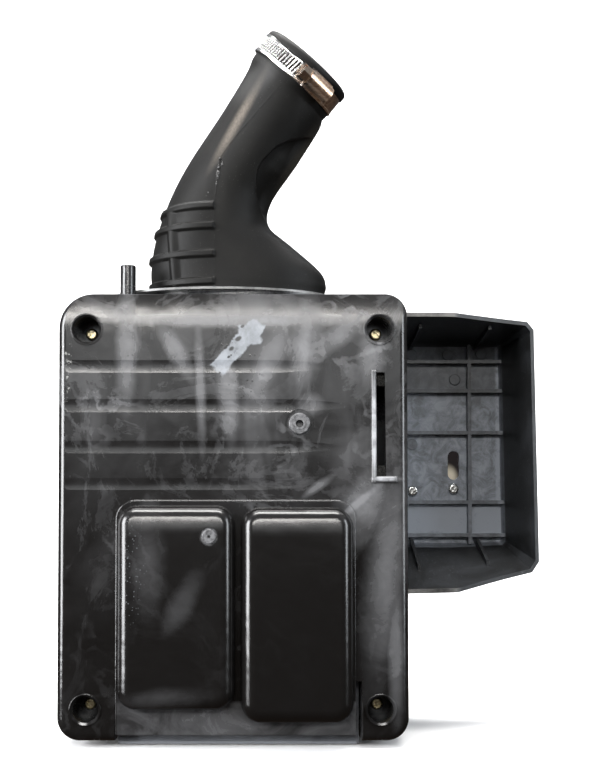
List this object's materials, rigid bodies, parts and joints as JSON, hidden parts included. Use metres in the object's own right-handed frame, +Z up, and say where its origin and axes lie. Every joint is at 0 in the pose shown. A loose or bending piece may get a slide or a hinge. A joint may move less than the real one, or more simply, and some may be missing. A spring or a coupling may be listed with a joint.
{
  "type": "air filter housing",
  "caption": "Moulded air filter housing with a screwed front cover, side inlet slot, ribbed rubber intake boot with worm clamp, and an open battery tray.",
  "frame": {"origin": "midpoint of the two threaded mounting inserts, on their seating plane at the back of the case", "axes": "+Z up, along the line of the two inserts and towards the intake boot; -Y is the way the cover faces; +X towards the battery tray"},
  "size_m": [0.3021, 0.1268, 0.4506],
  "materials": {
    "cover_plastic": "semi-gloss moulded black, scuffed and smeared",
    "case_plastic": "semi-gloss moulded black",
    "tray_plastic": "satin moulded black with a blue-grey sheen",
    "boot_rubber": "matte moulded rubber with a brownish bloom",
    "zinc_screw": "yellow-zinc plated steel",
    "bright_screw": "bright zinc plated steel",
    "seal_rubber": "matte soft rubber",
    "black_foam": "open-cell foam",
    "frame_plastic": "moulded, matte",
    "filter_media": "oiled reticulated foam",
    "screen_steel": "galvanised wire screen",
    "clamp_steel": "bright stainless strip",
    "clamp_screw_steel": "bright zinc plated steel",
    "pipe_plastic": "glossy black",
    "insert_brass": "turned brass"
  },
  "bodies": {
    "case": {"rear_case": "case_plastic", "outlet_collar": "case_plastic", "battery_tray": "tray_plastic", "tray_screws": "bright_screw", "intake_boot_foot": "boot_rubber", "intake_boot_bend": "boot_rubber", "intake_boot_tube": "boot_rubber", "clamp_band": "clamp_steel", "clamp_housing": "clamp_steel", "breather_pipe": "pipe_plastic", "mount_inserts": "insert_brass"},
    "cover": {"cover": "cover_plastic", "cover_bulge_left": "cover_plastic", "cover_bulge_right": "cover_plastic", "cover_inlet_panel": "cover_plastic", "cover_well_tl": "cover_plastic", "cover_well_tr": "cover_plastic", "cover_well_bl": "cover_plastic", "cover_well_br": "cover_plastic", "cover_gasket": "seal_rubber", "inlet_foam": "black_foam"},
    "element": {"filter_frame": "frame_plastic", "filter_foam": "filter_media", "filter_mesh": "screen_steel", "filter_seal": "seal_rubber"},
    "clamp_worm": {"clamp_screw": "clamp_screw_steel"},
    "screw_tl": {"cover_screw_tl": "zinc_screw"},
    "screw_tr": {"cover_screw_tr": "zinc_screw"},
    "screw_bl": {"cover_screw_bl": "zinc_screw"},
    "screw_br": {"cover_screw_br": "zinc_screw"}
  },
  "joints": [
    {"name": "cover_lift_off", "type": "slide", "parent": "case", "child": "cover", "axis": [0, -1, 0], "range_m": [0, 0.15]},
    {"name": "element_lift_out", "type": "slide", "parent": "case", "child": "element", "axis": [0, -1, 0], "range_m": [0, 0.06]},
    {"name": "cover_screw_tl_turn", "type": "hinge", "parent": "cover", "child": "screw_tl", "pos_m": [-0.0882, -0.09, 0.113], "axis": [0, -1, 0], "continuous": true},
    {"name": "cover_screw_tr_turn", "type": "hinge", "parent": "cover", "child": "screw_tr", "pos_m": [0.0882, -0.09, 0.113], "axis": [0, -1, 0], "continuous": true},
    {"name": "cover_screw_bl_turn", "type": "hinge", "parent": "cover", "child": "screw_bl", "pos_m": [-0.0882, -0.09, -0.115], "axis": [0, -1, 0], "continuous": true},
    {"name": "cover_screw_br_turn", "type": "hinge", "parent": "cover", "child": "screw_br", "pos_m": [0.0882, -0.09, -0.115], "axis": [0, -1, 0], "continuous": true},
    {"name": "clamp_screw_turn", "type": "hinge", "parent": "case", "child": "clamp_worm", "pos_m": [0.05282, -0.09706, 0.26668], "axis": [-0.7021, -0.5538, 0.4476], "continuous": true}
  ],
  "couplings": [
    {"joint": "element_lift_out", "follows": "cover_lift_off", "ratio": 0.4}
  ]
}
